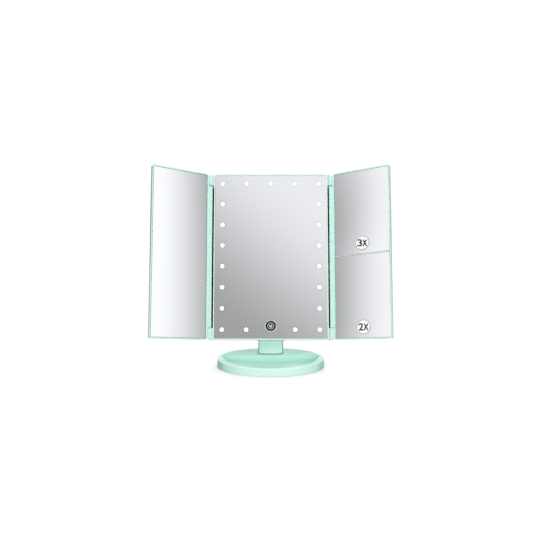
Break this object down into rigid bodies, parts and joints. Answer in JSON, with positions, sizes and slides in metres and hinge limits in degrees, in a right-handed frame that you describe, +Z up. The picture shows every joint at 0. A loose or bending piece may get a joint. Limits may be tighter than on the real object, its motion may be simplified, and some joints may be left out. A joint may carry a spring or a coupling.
{
  "type": "trifold vanity mirror",
  "caption": "Table-top make-up mirror: lit centre mirror with two folding wing mirrors, one of them split into magnifiers, on a tilting neck and an oval tray base.",
  "frame": {"origin": "middle of the pad's underside, on the table", "axes": "+X to the user's right, +Y away from the user, +Z up"},
  "size_m": [0.3356, 0.142, 0.2793],
  "materials": {
    "mint_plastic": "satin",
    "pad_rubber": "matte",
    "zinc_steel": "satin",
    "black_plastic": "satin",
    "white_plastic": "satin",
    "silvered_glass": "polished",
    "milky_plastic": "gloss",
    "white_board": "satin",
    "green_board": "satin",
    "lead_insulation": "satin",
    "ribbon_film": "satin",
    "foam": "matte",
    "cell_sleeve": "satin",
    "nickel_plate": "polished",
    "label_film": "gloss"
  },
  "bodies": {
    "base": {"base_shell": "mint_plastic", "base_plate": "black_plastic", "base_plate_screws": "zinc_steel", "counterweight": "zinc_steel", "base_pad": "pad_rubber", "neck": "mint_plastic", "neck_screws": "zinc_steel"},
    "head": {"battery_cell_1": "cell_sleeve", "battery_cell_2": "cell_sleeve", "battery_cell_3": "cell_sleeve", "battery_cell_4": "cell_sleeve", "battery_contacts": "nickel_plate", "battery_leads": "lead_insulation", "control_board": "green_board", "control_chips": "black_plastic", "friction_washers": "white_plastic", "front_frame": "mint_plastic", "housing_screws": "zinc_steel", "inlet_socket": "nickel_plate", "led_board": "white_board", "led_leads": "lead_insulation", "leds": "white_plastic", "light_diffuser": "milky_plastic", "main_mirror": "silvered_glass", "rear_housing": "mint_plastic", "switch_body": "black_plastic", "tilt_pin": "zinc_steel", "touch_board": "green_board", "touch_button": "milky_plastic", "touch_ribbon": "ribbon_film", "wing_hinge_pins": "zinc_steel"},
    "left_wing": {"left_wing_shell": "mint_plastic", "left_mirror": "silvered_glass", "left_foam": "foam"},
    "right_wing": {"right_wing_shell": "mint_plastic", "lower_mirror": "silvered_glass", "upper_mirror": "silvered_glass", "lower_foam": "foam", "upper_foam": "foam", "mirror_divider": "mint_plastic", "lower_label": "label_film", "upper_label": "label_film"},
    "cover": {"battery_cover": "mint_plastic"},
    "knob": {"switch_knob": "black_plastic"}
  },
  "joints": [
    {"name": "head_tilt", "type": "hinge", "parent": "base", "child": "head", "pos_m": [0, 0.0308, 0.0463], "axis": [-1, 0, 0], "range_deg": [-16, 74]},
    {"name": "left_wing_fold", "type": "hinge", "parent": "head", "child": "left_wing", "pos_m": [-0.087, 0.00962, 0.03786], "axis": [0, 0.2782, 0.9605], "range_deg": [-26.5, 153.5]},
    {"name": "right_wing_fold", "type": "hinge", "parent": "head", "child": "right_wing", "pos_m": [0.087, 0.00962, 0.03786], "axis": [0, 0.2782, 0.9605], "range_deg": [-153.5, 26.5]},
    {"name": "battery_cover_lift", "type": "slide", "parent": "head", "child": "cover", "axis": [0, 0.9605, -0.2782], "range_m": [0, 0.025]},
    {"name": "switch_slide", "type": "slide", "parent": "head", "child": "knob", "axis": [1, 0, 0], "range_m": [0, 0.004]}
  ]
}
